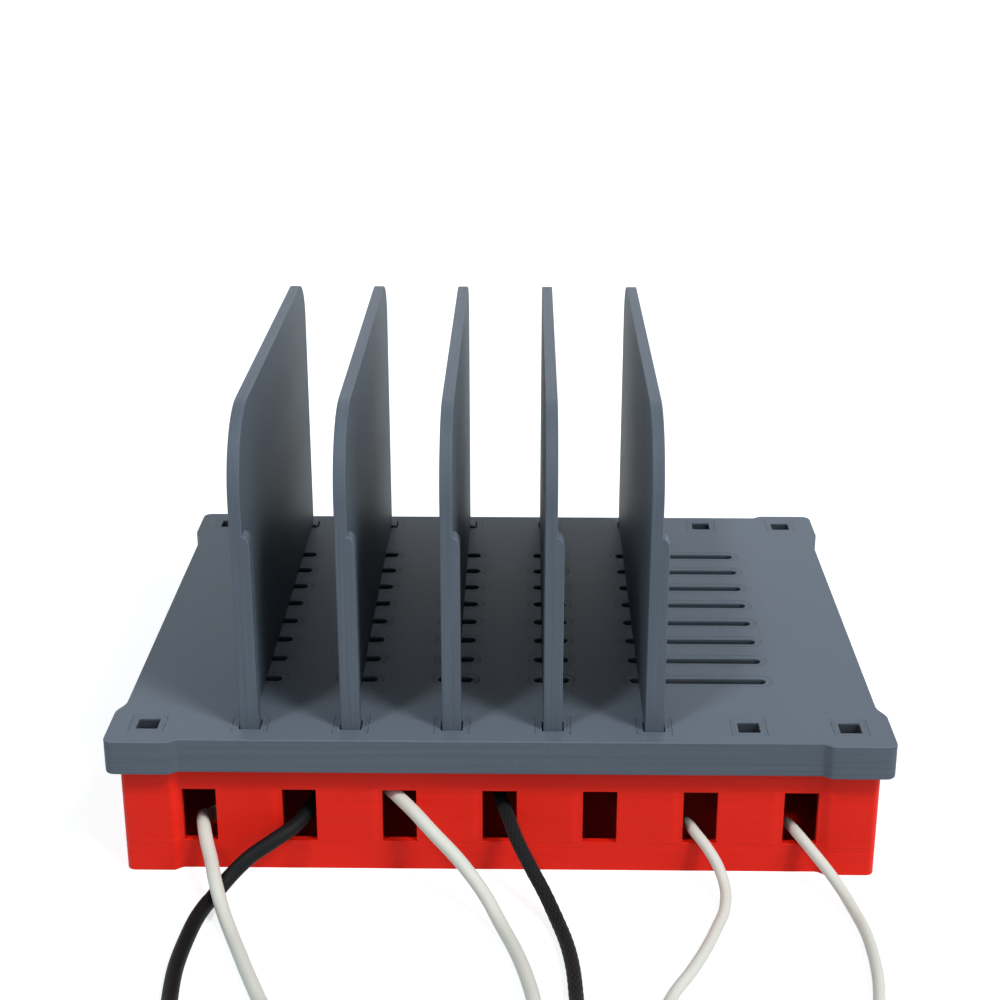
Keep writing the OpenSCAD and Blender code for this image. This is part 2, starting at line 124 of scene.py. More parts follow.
class Paint:
    """One material under construction."""

    def __init__(self, name):
        self.material = bpy.data.materials.new(name)
        self.material.use_nodes = True
        self.tree = self.material.node_tree
        self.tree.nodes.clear()

    def node(self, kind, **settings):
        made = self.tree.nodes.new(kind)
        for key, value in settings.items():
            setattr(made, key, value)
        return made

    def set(self, socket, value):
        if isinstance(value, Field):
            self.tree.links.new(value.socket, socket)
        elif isinstance(value, bpy.types.NodeSocket):
            self.tree.links.new(value, socket)
        else:
            socket.default_value = value

    def math(self, operation, *values):
        made = self.node("ShaderNodeMath", operation=operation)
        for socket, value in zip(made.inputs, values):
            self.set(socket, value)
        return Field(self, made.outputs[0])

    def smooth(self, field, low, high):
        """0 below low and 1 above high, or the other way round where high is the smaller one."""
        made = self.node("ShaderNodeMapRange", interpolation_type="SMOOTHSTEP")
        self.set(made.inputs["Value"], field)
        limits = (low, high, 0, 1) if low < high else (high, low, 1, 0)
        for key, value in zip(("From Min", "From Max", "To Min", "To Max"), limits):
            made.inputs[key].default_value = value
        return Field(self, made.outputs["Result"])

    def place(self):
        """The point's place in millimetres, as a vector and as its three numbers."""
        here = self.node("ShaderNodeTexCoord").outputs["Object"]
        scaled = self.node("ShaderNodeVectorMath", operation="SCALE")
        self.tree.links.new(here, scaled.inputs[0])
        scaled.inputs["Scale"].default_value = 1 / MM
        split = self.node("ShaderNodeSeparateXYZ")
        self.tree.links.new(scaled.outputs[0], split.inputs[0])
        return scaled.outputs[0], [Field(self, s) for s in split.outputs]

    def facing(self):
        """How far the surface faces along X, Y and Z, without its bumps."""
        split = self.node("ShaderNodeSeparateXYZ")
        normal = self.node("ShaderNodeNewGeometry").outputs["Normal"]
        self.tree.links.new(normal, split.inputs[0])
        return [Field(self, s) for s in split.outputs]

    def vector(self, *numbers):
        made = self.node("ShaderNodeCombineXYZ")
        for socket, value in zip(made.inputs, numbers):
            self.set(socket, value)
        return made.outputs[0]

    def noise(self, vector, detail, scale=1.0, roughness=0.5):
        made = self.node("ShaderNodeTexNoise")
        self.set(made.inputs["Vector"], vector)
        made.inputs["Scale"].default_value = scale
        made.inputs["Detail"].default_value = detail
        made.inputs["Roughness"].default_value = roughness
        return Field(self, made.outputs["Fac"])

    def tint(self, colour, light):
        """The colour, made lighter or darker by a field that is 1 where it stays as it is."""
        made = self.node("ShaderNodeVectorMath", operation="SCALE")
        made.inputs[0].default_value = colour
        self.set(made.inputs["Scale"], light)
        return made.outputs[0]

    def blend(self, first, second, share):
        made = self.node("ShaderNodeMix", data_type="RGBA")
        colours = [s for s in made.inputs if s.type == "RGBA"]
        for socket, colour in zip(colours, (first, second)):
            self.set(socket, colour if not isinstance(colour, tuple) else (*colour, 1))
        self.set(made.inputs["Factor"], share)
        return next(s for s in made.outputs if s.type == "RGBA")

    def finish(self, colour, height, depth, roughness, metal=0.0, specular=0.5, **more):
        """Ends the material. height is a field, and depth what 1 of it stands for in metres."""
        shader = self.node("ShaderNodeBsdfPrincipled")
        self.set(shader.inputs["Base Color"], colour)
        self.set(shader.inputs["Roughness"], roughness)
        shader.inputs["Metallic"].default_value = metal
        shader.inputs["Specular IOR Level"].default_value = specular
        for key, value in more.items():
            shader.inputs[key.replace("_", " ")].default_value = value
        bump = self.node("ShaderNodeBump")
        bump.inputs["Distance"].default_value = depth
        self.set(bump.inputs["Height"], height)
        self.tree.links.new(bump.outputs[0], shader.inputs["Normal"])
        out = self.node("ShaderNodeOutputMaterial")
        self.tree.links.new(shader.outputs[0], out.inputs["Surface"])
        return self.material


def srgb(red, green, blue):
    """A colour given as 0 to 255 on a screen, as the shaders take it."""

    def linear(v):
        v /= 255
        return v / 12.92 if v <= 0.04045 else ((v + 0.055) / 1.055) ** 2.4

    return linear(red), linear(green), linear(blue)


# Sizes that the prints' finish follows, in millimetres as in the model's source, and its colours

PITCH = 25
PATTERN = (0.6, 0.65)
SOCKET = 5.3
SOCKET_SPAN = 134.4
VENT_PITCH = 12
VENT_WIDTH = 3
VENT_SHORT = 9
VENT_LONG = 35.2
VENT_ROWS = 8
LID_TOP = 38
LID_HALF = (95, 75)
WINDOW = (8.5, 14.5)
WINDOW_SILL = 8

# The lid's outline steps out to its corner blocks: by how much, and where each step starts and ends
BLOCK_OUT = (2, 1.5)
BLOCK_STEP_X = (78.7, 81.5)
BLOCK_STEP_Y = (53.5, 59.5)

# A layer's height, a line's width, the spacing of the slanted lines and the reach of those round a hole
LAYER = 0.2
LINE = 0.45
HATCH = 0.75
RING = 1.7

SLATE = (85, 94, 105)
RED = (215, 29, 12)


def column_x(k):
    shift = -0.5 if k == 1 else -1.5 if k >= 7 else 0
    return PATTERN[0] + (k - 4.5) * PITCH + shift


# Printed plastic


def layer_lines(paint, x, y, z):
    """Layers stacked along z: fine lines, and broader bands where the print ran hotter or cooler."""
    fine = paint.noise(paint.vector(x * 0.03, y * 0.03, z / LAYER), detail=1)
    bands = paint.noise(paint.vector(x * 0.01, y * 0.01, z * 0.9), detail=2)
    return fine, bands


def grain(paint, place, size):
    """A fine speckle of the given size in millimetres."""
    return paint.noise(place, detail=3, scale=1 / size, roughness=0.6)


def painted_edge_highlight(facing):
    """1 on a rounded edge, halfway between a direction and those across it, where a painted highlight
    makes the plastic lighter."""
    return facing.abs().bump(0.7, 0.45)


def specks(paint, place, spacing, size):
    """A few light grains of dust, each alone."""
    cells = paint.node("ShaderNodeTexVoronoi", feature="F1")
    cells.inputs["Scale"].default_value = 1 / spacing
    paint.set(cells.inputs["Vector"], place)
    return Field(paint, cells.outputs["Distance"]).above(size / spacing, size / spacing * 0.5)


def lid_finish():
    """The lid: layer lines on its walls, and on its top the lines of a solid layer, at a slant
    between straight ones that follow the outer edge, the sockets and the vents."""
    paint = Paint("slate_lid")
    place, (x, y, z) = paint.place()
    facing = paint.facing()
    up = facing[2].above(0.6, 0.8)
    half_w = y.abs().above(*BLOCK_STEP_Y) * BLOCK_OUT[0] + LID_HALF[0]
    half_d = x.abs().above(*BLOCK_STEP_X) * BLOCK_OUT[1] + LID_HALF[1]
    edge = (half_w - x.abs()).least(half_d - y.abs())

    from_row = ((y - PATTERN[1]).abs() - SOCKET_SPAN / 2).abs()
    from_column = (x - column_x(1)).abs()
    for k in range(2, 9):
        from_column = from_column.least((x - column_x(k)).abs())
    to_socket = from_row.most(from_column) - SOCKET / 2

    from_vent_row = (y - PATTERN[1]).abs().math("PINGPONG", VENT_PITCH)
    from_vent_row = (from_vent_row - VENT_PITCH / 2).abs()
    beyond_rows = ((y - PATTERN[1]).abs() - (VENT_ROWS - 1) / 2 * VENT_PITCH).most(0)
    from_vent_row = from_vent_row.most(beyond_rows)
    along = (x - column_x(2)).abs()
    for k in (3, 4, 5):
        along = along.least((x - column_x(k)).abs())
    along = (along - (VENT_SHORT - VENT_WIDTH) / 2).most(0)
    long_middle = column_x(6) + (VENT_LONG - VENT_SHORT) / 2
    along = along.least(((x - long_middle).abs() - (VENT_LONG - VENT_WIDTH) / 2).most(0))
    to_vent = (along * along + from_vent_row * from_vent_row).math("SQRT") - VENT_WIDTH / 2

    to_hole = (edge + 0.7).least(to_socket).least(to_vent)
    inside = to_hole.above(RING + 0.1, RING - 0.1)
    wobble = grain(paint, place, 2.5)
    to_ring = to_socket.least(to_vent) + (wobble - 0.5) * 0.5
    beside = (from_column - from_row + 1).above(0, 1) * 0.75 + to_vent.above(4, 3) + 0.25
    groove = (to_ring.bump(RING, 0.3) + to_ring.bump(RING * 0.55, 0.25) * 0.6) * up
    groove = groove * beside.least(1) * grain(paint, place, 1.1).above(0.3, 0.55)
    rings = ((to_hole + wobble * 0.1) * (2 * math.pi / LINE)).sine()
    slant = (((x + y) * 0.71 + wobble * 0.6) * (2 * math.pi / HATCH)).sine()
    slant = slant * grain(paint, place, 1.4).above(0.25, 0.75)
    top = slant * (inside * -1 + 1) + rings * inside * 0.5
    fine, bands = layer_lines(paint, x, y, z)
    walls = up * -1 + 1
    speckle = grain(paint, place, 0.4)
    cloud = grain(paint, place, 30)
    dust = specks(paint, place, 21, 0.35) * up

    light = (fine - 0.5) * walls * 0.25 + (bands - 0.5) * walls * 0.3 + 1
    light = light + (speckle - 0.5) * 0.30 + (cloud - 0.5) * 0.10 + top * up * 0.12
    # painted light: the top faces are made a tenth lighter, and the rounded edges get a painted
    # highlight
    light = light * (groove * -0.5 + 1) + up * 0.1 + painted_edge_highlight(facing[2]) * 0.35 + dust * 0.7

    # painted shade: inside the sockets and vents the plastic is painted darker than the top around
    # them, standing in for the shade in these holes
    painted_shade_in_holes = z.above(LID_TOP - 0.4, LID_TOP - 0.8) * edge.above(3, 3.5) * facing[2].above(-0.5, -0.3)
    light = light * (painted_shade_in_holes * -0.5 + 1)
    height = fine * walls * 0.9 + top * up * 0.5 + speckle * 0.35 - groove * 1.4
    colour = paint.tint(srgb(*SLATE), light)
    rough = (speckle - 0.5) * 0.2 + 0.55
    return paint.finish(colour, height, 0.05 * MM, roughness=rough, specular=0.15)


def divider_finish():
    """The dividers are printed lying down: layers across their thickness, which shows as lines
    along their edges, and a fine sandy grain on the two broad faces."""
    paint = Paint("slate_divider")
    place, (x, y, z) = paint.place()
    facing = paint.facing()
    broad = facing[0].abs().above(0.6, 0.85)
    fine = paint.noise(paint.vector(x / LAYER, y * 0.02, z * 0.02), detail=1)
    bands = paint.noise(paint.vector(x * 1.6, y * 0.03, z * 0.03), detail=1)
    edges = broad * -1 + 1
    speckle = grain(paint, place, 0.45)
    cloud = grain(paint, place, 18)
    light = (fine - 0.5) * edges * 0.2 + (bands - 0.5) * edges * 0.3 + 1
    # the broad faces are painted 0.15 darker, a painted shade
    light = light + (speckle - 0.5) * (broad * 1.3 + 0.2) + (cloud - 0.5) * 0.08 - broad * 0.15
    # a painted highlight along the rounded edges
    light = light + painted_edge_highlight(facing[0]) * 0.4
    height = fine * edges * 0.8 + speckle * (broad * 1.8 + 0.3)
    colour = paint.tint(srgb(*SLATE), light)
    rough = (speckle - 0.5) * 0.25 + 0.55
    return paint.finish(colour, height, 0.05 * MM, roughness=rough, specular=0.15)


def tray_finish():
    """The red tray: layer lines all round, the seam at the window sills' level, and the glossier strip
    that the nozzle leaves beside each window, which is also painted lighter as a painted sheen."""
    paint = Paint("red_tray")
    place, (x, y, z) = paint.place()
    facing = paint.facing()
    up = facing[2].abs().above(0.6, 0.8)
    walls = up * -1 + 1
    fine, bands = layer_lines(paint, x, y, z)
    speckle = grain(paint, place, 0.4)
    cloud = grain(paint, place, 22)
    seam = z.bump(WINDOW_SILL - 0.3, 0.22) * walls
    front = facing[1].above(-0.6, -0.9)
    beside = (x / PITCH).math("FRACT") * PITCH
    strip = beside.bump(PITCH - WINDOW[0] / 2 - 1.7, 1.6)
    window_top = WINDOW_SILL + WINDOW[1]
    level = z.above(WINDOW_SILL - 0.5, WINDOW_SILL + 0.5) * z.above(window_top + 0.5, window_top)
    strip = strip * level * front
    slant = ((x * 0.7 + y * 0.7) * (2 * math.pi / LINE)).sine() * up
    light = (fine - 0.5) * walls * 0.20 + (bands - 0.5) * walls * 0.16 + 1
    # a painted highlight along the rounded edges
    light = light + (speckle - 0.5) * 0.12 + (cloud - 0.5) * 0.06 + painted_edge_highlight(facing[1]) * 0.25
    # the strip beside each window is painted lighter, a painted sheen on top of its lower roughness
    light = light + strip * 0.10 - seam * 0.10 + slant * 0.02
    height = fine * walls * 0.9 + speckle * 0.3 - seam * 0.8 + slant * 0.3
    colour = paint.tint(srgb(*RED), light)
    rough = strip * -0.1 + 0.5
    return paint.finish(colour, height, 0.05 * MM, roughness=rough, specular=0.2)


# Moulded parts, cords and metal

BRAID_STRANDS = 10
BRAID_TURN = 26.0
BRAID_YARNS = 3
BRAID_BLACK = (14, 16, 18)
WHITE_CORD = (211, 211, 202)
BLACK_CORD = (10, 12, 14)


def moulded(name, colour, size, depth, roughness, specular=0.5, mottle=0.06):
    """Moulded plastic or rubber with a fine spark-eroded texture of the given size."""
    paint = Paint(name)
    place, _ = paint.place()
    speckle = grain(paint, place, size)
    cloud = grain(paint, place, 9)
    light = (speckle - 0.5) * mottle + (cloud - 0.5) * mottle + 1
    colour = paint.tint(srgb(*colour), light)
    rough = (speckle - 0.5) * 0.15 + roughness
    return paint.finish(colour, speckle, depth * MM, roughness=rough, specular=specular)


def cord_coordinates(paint):
    """Around the cord from 0 to 1, and along it in millimetres."""
    made = paint.node("ShaderNodeUVMap", uv_map="cord")
    split = paint.node("ShaderNodeSeparateXYZ")
    paint.tree.links.new(made.outputs[0], split.inputs[0])
    return Field(paint, split.outputs[0]), Field(paint, split.outputs[1]) / MM


def jacket(name, colour, roughness, specular):
    """A smooth extruded jacket: faint streaks along it and a soft bloom of dust and handling."""
    paint = Paint(name)
    place, _ = paint.place()
    around, along = cord_coordinates(paint)
    angle = around * (2 * math.pi)
    skin = paint.vector(angle.sine() * 5, angle.math("COSINE") * 5, along * 0.12)
    streak = paint.noise(skin, detail=2)
    speckle = grain(paint, place, 0.25)
    cloud = grain(paint, place, 6)
    light = (streak - 0.5) * 0.08 + (speckle - 0.5) * 0.05 + (cloud - 0.5) * 0.06 + 1
    colour = paint.tint(srgb(*colour), light)
    rough = (cloud - 0.5) * 0.2 + roughness
    height = streak * 0.6 + speckle * 0.4
    return paint.finish(colour, height, 0.03 * MM, roughness=rough, specular=specular)


def braid_finish():
    """The braided sleeve: each flat strand shows its own yarns, with a painted highlight on its crown
    and painted shade between the strands.
    """
    paint = Paint("black_braid")
    place, _ = paint.place()
    around, along = cord_coordinates(paint)
    yarns = BRAID_STRANDS * BRAID_YARNS * 2 * math.pi
    one = ((around + along / BRAID_TURN) * yarns).sine()
    other = ((around - along / BRAID_TURN) * yarns).sine()
    speckle = grain(paint, place, 0.16)
    crown = Field(paint, paint.node("ShaderNodeAttribute", attribute_name="crown").outputs["Fac"])
    over = Field(paint, paint.node("ShaderNodeAttribute", attribute_name="over").outputs["Fac"])
    yarn = one * over + other * (over * -1 + 1)
    # painted light: the strands' crowns are made much lighter than the hollows between them, a painted
    # highlight and painted shade
    light = crown * 2.2 + yarn * 0.3 + (speckle - 0.5) * 0.8 + 0.35
    colour = paint.tint(srgb(*BRAID_BLACK), light)
    height = yarn * 0.5 + speckle
    return paint.finish(colour, height, 0.04 * MM, roughness=0.7, specular=0.15, Sheen_Weight=0.05)


def metal(name, colour, roughness, brushed=0.0):
    """Plated or brushed metal, with fine scratches along X and faint stains."""
    paint = Paint(name)
    place, (x, y, z) = paint.place()
    lines = paint.noise(paint.vector(x * 0.4, y * 9, z * 9), detail=2)
    stain = grain(paint, place, 3)
    light = (lines - 0.5) * 0.12 + (stain - 0.5) * 0.12 + 1
    rough = (stain - 0.5) * 0.15 + (lines - 0.5) * brushed + roughness
    colour = paint.tint(srgb(*colour), light)
    return paint.finish(colour, lines, 0.01 * MM, roughness=rough, metal=1.0)


def board_finish():
    """A circuit board: copper tracks that show through green lacquer, with pads at the crossings."""
    paint = Paint("circuit_board")
    place, (x, y, z) = paint.place()
    cells = paint.node("ShaderNodeTexVoronoi", distance="CHEBYCHEV", feature="F1")
    cells.inputs["Scale"].default_value = 0.16
    paint.set(cells.inputs["Vector"], place)
    reach = Field(paint, cells.outputs["Distance"])
    tracks = (reach * 60).sine().above(0.55, 0.8)
    pads = reach.above(0.12, 0.08)
    lacquer = paint.blend(srgb(18, 74, 42), srgb(40, 118, 66), tracks)
    colour = paint.blend(lacquer, srgb(196, 190, 170), pads)
    return paint.finish(colour, tracks * 0.5 + pads, 0.03 * MM, roughness=0.35, specular=0.6)


MATERIALS = {
    "red_print": tray_finish(),
    "slate_print": lid_finish(),
    "charger_case": moulded("charger_case", (30, 31, 33), 0.35, 0.05, 0.5, 0.3),
    "circuit_board": board_finish(),
    "steel_screw": metal("steel_screw", (190, 192, 196), 0.3),
    "port_metal": metal("port_metal", (205, 207, 210), 0.25, 0.1),
    "port_plastic": moulded("port_plastic", (235, 235, 230), 0.2, 0.01, 0.4),
    "transformer": moulded("transformer", (36, 34, 30), 0.3, 0.04, 0.5, mottle=0.3),
    "capacitor": metal("capacitor", (150, 156, 162), 0.3, 0.1),
    "rubber_foot": moulded("rubber_foot", (24, 24, 25), 0.3, 0.06, 0.8, 0.3),
    "white_plug": moulded("white_plug", (228, 227, 221), 0.3, 0.03, 0.42),
    "black_plug": moulded("black_plug", (21, 22, 24), 0.3, 0.04, 0.55, 0.25),
    "plug_metal": metal("plug_metal", (210, 211, 213), 0.22, 0.1),
    "white_cord": jacket("white_cord", WHITE_CORD, 0.5, 0.3),
    "black_cord": jacket("black_cord", BLACK_CORD, 0.6, 0.15),
    "black_braid": braid_finish(),
}
DIVIDER_SLATE = divider_finish()
GOLD = metal("gold_contact", (226, 186, 104), 0.25)


# Mesh helpers


def add_mesh(name, verts, faces, body, slot, *materials):
    """A new piece from points and faces, smooth, painted and riding on a body."""
    data = bpy.data.meshes.new(name)
    data.from_pydata([tuple(v) for v in verts], [], faces)
    data.validate()
    return add_piece(name, data, body, slot, *materials)


def add_piece(name, data, body, slot, *materials):
    piece = bpy.data.objects.new(name, data)
    bpy.context.scene.collection.objects.link(piece)
    data.shade_smooth()
    data.materials.clear()
    for material in materials or (MATERIALS[slot],):
        data.materials.append(material)
    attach(piece, body)
    return piece


SHARP = math.cos(math.radians(32))
EDGE_STEPS = 3
NEAR = 0.002 * MM


def on_plane(face, normal, height):
    return all(abs(normal.dot(v.co) - height) < NEAR for v in face.verts)


def number_flats(work, number):
    """Numbers the flat faces that the triangles of a shape make up, and returns each one's
    direction and its height along it."""
    flats = []
    for face in work.faces:
        face[number] = -1
    for first in sorted(work.faces, key=lambda f: -f.calc_area()):
        if first[number] >= 0:
            continue
        normal = first.normal.copy()
        height = normal.dot(first.verts[0].co)
        first[number] = len(flats)
        waiting = [first]
        while waiting:
            for edge in waiting.pop().edges:
                for face in edge.link_faces:
                    alike = face[number] < 0 and face.normal.dot(normal) > 0.5
                    if alike and on_plane(face, normal, height):
                        face[number] = len(flats)
                        waiting.append(face)
        flats.append((normal, height))
    return flats


def ring_faces(first, count):
    """Faces that join a ring of points to the next one. first is the ring's first point."""
    return [
        (first + j, first + (j + 1) % count, first + count + (j + 1) % count, first + count + j)
        for j in range(count)
    ]


def end_faces(rings, count):
    """The faces that close a row of rings at its two ends."""
    last = (rings - 1) * count
    return [tuple(reversed(range(count))), tuple(range(last, last + count))]


def border_loops(faces):
    """The closed rows of points around a group of faces."""
    steps = {(a.index, b.index) for f in faces for a, b in zip(f.verts, [*f.verts[1:], f.verts[0]])}
    after = {a: b for a, b in steps if (b, a) not in steps}
    loops = []
    while after:
        here = next(iter(after))
        loop = []
        while here in after:
            loop.append(here)
            here = after.pop(here)
        loops.append(loop)
    return loops


def filled(loops, points, normal):
    """Faces that fill a flat face inside its borders, facing its way."""
    if len(loops) == 1 and len(loops[0]) <= 4:
        return loops
    numbers = [k for loop in loops for k in loop]
    made = []
    for corners in tessellate_polygon([[points[k] / MM for k in loop] for loop in loops]):
        a, b, c = (numbers[k] for k in corners)
        up = (points[b] - points[a]).cross(points[c] - points[a]).dot(normal) > 0
        made.append((a, b, c) if up else (a, c, b))
    return made


def softened(node, width):
    """A CAD node's shape with rounded edges: its points, its faces and the way each point faces,
    which is straight out of the flat face or faces that it is on."""
    work = bmesh.new()
    work.from_mesh(frame["nodes"][node].data)
    bmesh.ops.remove_doubles(work, verts=work.verts, dist=0.0005 * MM)
    number = work.faces.layers.int.new("flat")
    flats = number_flats(work, number)
    sharp = []
    for edge in work.edges:
        first, second = (flats[f[number]][0] for f in edge.link_faces)
        if first.dot(second) < SHARP:
            sharp.append(edge)
    bmesh.ops.bevel(
        work, geom=sharp, offset=width, offset_type="OFFSET", segments=EDGE_STEPS, profile=0.5,
        affect="EDGES", clamp_overlap=False, loop_slide=False, material=-1,
    )
    work.normal_update()
    work.verts.index_update()
    points = [v.co.copy() for v in work.verts]
    faces = []
    left = [[] for _ in flats]
    for face in work.faces:
        if on_plane(face, *flats[face[number]]):
            left[face[number]].append(face)
        else:
            faces.append([v.index for v in face.verts])
    facing = {}
    for group, (normal, _) in zip(left, flats):
        loops = border_loops(group)
        faces += filled(loops, points, normal)
        for k in {k for loop in loops for k in loop}:
            facing[k] = facing.get(k, Vector()) + normal
    normals = [facing.get(v.index, v.normal).normalized() for v in work.verts]
    work.free()
    return points, faces, normals


def remade(name, node, body, edge, *materials):
    """The piece that shows in place of a CAD node of the same shape, with softened edges."""
    points, faces, normals = softened(node, edge)
    data = bpy.data.meshes.new(name)
    data.from_pydata(points, [], faces)
    data.validate()
    piece = add_piece(name, data, body, SLOT_OF[node], *materials)
    data.normals_split_custom_set_from_vertices(normals)
    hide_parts(node)
    return piece


SLOT_OF = {part["node"]: part["material_slot"] for part in frame["record"]["subparts"]}


# Cords


PORT_PITCH = 22
PORT_Z = 16
CORD_START_Y = -19.5
CORD_PORTS = (1, 2, 3, 4, 6, 7)
CORD_DIAMETERS = (3.4, 3.8, 3.4, 3.5, 2.8, 2.8)
CORD_KINDS = ("oval", "wedge", "oval", "oval", "tab", "tab")
CORD_STEP = 1.0 * MM
CORD_SIDES = 32
BRAID_STEP = 0.3 * MM
BRAID_SIDES = 80
BRAID_RELIEF = 0.16 * MM

ROUTES = (
    ((-66, -28, 16), (-67.5, -39, 12.5), (-71, -50, 6.5), (-74.5, -58.5, 7.5), (-75.5, -64.5, 10.5),
     (-74.5, -70, 11.2), (-73, -75.5, 9.8), (-71, -81.5, 8.3), (-69, -88.5, 6.8), (-66, -96.5, 3.5),
     (-62, -106), (-57.5, -117.5), (-53, -128.5), (-48, -140, 3), (-45, -147, 3)),
    ((-44, -28, 16), (-44, -40, 16), (-44.5, -51, 15.5), (-46, -60, 14.8), (-48, -67, 14.2),
     (-51, -73, 13), (-56, -77, 11), (-62, -80, 7.8), (-67, -83.5, 3.8), (-70, -89), (-72, -96),
     (-73.2, -106), (-73.7, -117), (-73, -128), (-71.5, -139, 3), (-70, -147, 3)),
    ((-22, -28, 16), (-24, -39, 16), (-27.5, -50, 16.5), (-29, -59, 17.5), (-28, -65, 19.2),
     (-25.5, -70, 19.8), (-21.5, -75, 18.7), (-16.5, -80, 15.8), (-9.5, -86, 11.2), (-3.5, -92, 6),
     (0.5, -99, 2.5), (4.2, -109), (7, -120), (8.5, -130), (7, -140, 3), (5, -148, 3)),
    ((0, -28, 16), (-0.5, -40, 16), (-0.5, -52, 16), (0, -62, 16.5), (1, -68, 16.3),
     (2.5, -73.5, 15.3), (4.5, -79, 12.7), (7.5, -84.5, 9.3), (11, -90, 5.3), (14, -97, 2.3),
     (16.2, -106), (17.5, -116), (18, -127), (18.3, -138, 3), (18.8, -147, 3)),
    ((44, -28, 16), (44, -39, 12.5), (44.5, -50, 6.5), (46, -58, 6.5), (47.5, -65, 9.8),
     (49, -70.5, 10.4), (51.7, -75, 8.7), (54.2, -79.5, 6), (55.5, -85, 3), (54.7, -91.5, 1.5),
     (52.5, -98), (49, -107), (44.8, -116), (39.5, -126), (36, -137, 2.5), (35, -146, 2.5)),
    ((66, -28, 16), (67, -39, 12.5), (69, -50, 6.5), (71, -58, 6.5), (73, -65, 9.8),
     (74.7, -71, 10.4), (77.5, -75.5, 8.6), (80.8, -80, 6), (84, -85.5, 3.2), (86.2, -92.5, 1.6),
     (87.3, -100), (87.5, -109), (87, -118), (85.5, -128), (83.5, -138, 2.5), (81.5, -146, 2.5)),
)


def port_x(i):
    return (i - 4) * PORT_PITCH


def route(i):
    """A cord's points in metres. A point with no height lies on the table."""
    radius = CORD_DIAMETERS[i] / 2
    start = Vector((port_x(CORD_PORTS[i]), CORD_START_Y, PORT_Z))
    rest = [Vector(p if len(p) == 3 else (*p, radius)) for p in ROUTES[i]]
    return [p * MM for p in (start, *rest)]


def smooth_path(points, step, start_along):
    """A smooth curve through the points, about step apart."""
    times = [0.0]
    for a, b in zip(points, points[1:]):
        times.append(times[-1] + math.sqrt((b - a).length))
    slopes = [start_along * (points[1] - points[0]).length / (times[1] - times[0])]
    for k in range(1, len(points) - 1):
        before = (points[k] - points[k - 1]) / (times[k] - times[k - 1])
        after = (points[k + 1] - points[k]) / (times[k + 1] - times[k])
        across = (points[k + 1] - points[k - 1]) / (times[k + 1] - times[k - 1])
        slopes.append(before + after - across)
    slopes.append((points[-1] - points[-2]) / (times[-1] - times[-2]))
    made = []
    for k in range(len(points) - 1):
        span = times[k + 1] - times[k]
        count = max(2, round((points[k + 1] - points[k]).length / step))
        for j in range(count):
            t = j / count
            made.append(
                (2 * t**3 - 3 * t**2 + 1) * points[k]
                + (t**3 - 2 * t**2 + t) * span * slopes[k]
                + (3 * t**2 - 2 * t**3) * points[k + 1]
                + (t**3 - t**2) * span * slopes[k + 1]
            )
    made.append(points[-1])
    return made


def path_frames(path):
    """At each point of a path, two directions across it that don't twist."""
    frames = []
    side = Vector((1, 0, 0))
    for k in range(len(path)):
        along = (path[min(k + 1, len(path) - 1)] - path[max(k - 1, 0)]).normalized()
        side = (side - along * side.dot(along)).normalized()
        frames.append((side, along.cross(side)))
    return frames


def lengths_along(path):
    made = [0.0]
    for a, b in zip(path, path[1:]):
        made.append(made[-1] + (b - a).length)
    return made


def tube(name, path, sides, radius, slot, fields=None):
    """A closed tube along a path. radius is a number, or a function of the share around and the
    length along. It gets a map of both, and fields are further numbers to store at its points."""
    fields = fields or {}
    lengths = lengths_along(path)
    verts = []
    extra = {key: [] for key in fields}
    for centre, (side, top), length in zip(path, path_frames(path), lengths):
        for j in range(sides):
            share = j / sides
            angle = 2 * math.pi * share
            r = radius(share, length) if callable(radius) else radius
            verts.append(centre + (side * math.cos(angle) + top * math.sin(angle)) * r)
            for key, value in fields.items():
                extra[key].append(value(share, length))
    faces = []
    corners = []
    for k, (near, far) in enumerate(zip(lengths, lengths[1:])):
        faces += ring_faces(k * sides, sides)
        for j in range(sides):
            here, after = j / sides, (j + 1) / sides
            corners += [(here, near), (after, near), (after, far), (here, far)]
    faces += end_faces(len(path), sides)
    corners += [(0, 0)] * (2 * sides)
    data = bpy.data.meshes.new(name)
    data.from_pydata([tuple(v) for v in verts], [], faces)
    layer = data.uv_layers.new(name="cord")
    for loop, corner in zip(layer.data, corners):
        loop.uv = corner
    for key, values in extra.items():
        attribute = data.attributes.new(key, "FLOAT", "POINT")
        attribute.data.foreach_set("value", values)
    return add_piece(name, data, "base", slot)


def braid_cell(share, length):
    """Where a point of the braid is in its weave: how high, and whether the first set is on top."""
    one = BRAID_STRANDS * (share + length / (BRAID_TURN * MM))
    other = BRAID_STRANDS * (share - length / (BRAID_TURN * MM))
    first = abs(math.sin(math.pi * one))
    second = abs(math.sin(math.pi * other))
    sign = 1 if (math.floor(one) + math.floor(other)) % 2 == 0 else -1
    high = math.sqrt(first) * (0.5 + 0.5 * sign * second)
    low = math.sqrt(second) * (0.5 - 0.5 * sign * first)
    return max(high, low), 1.0 if high > low else 0.0


def braided_tube(name, path, r, slot):
    """A tube with the weave in its surface. crown is 1 on top of a strand, and over tells which
    set of strands is on top."""

    def relief(share, length):
        return r - BRAID_RELIEF * (1 - braid_cell(share, length)[0])

    fields = {
        "crown": lambda share, length: braid_cell(share, length)[0] ** 3,
        "over": lambda share, length: braid_cell(share, length)[1],
    }
    return tube(name, path, BRAID_SIDES, relief, slot, fields)


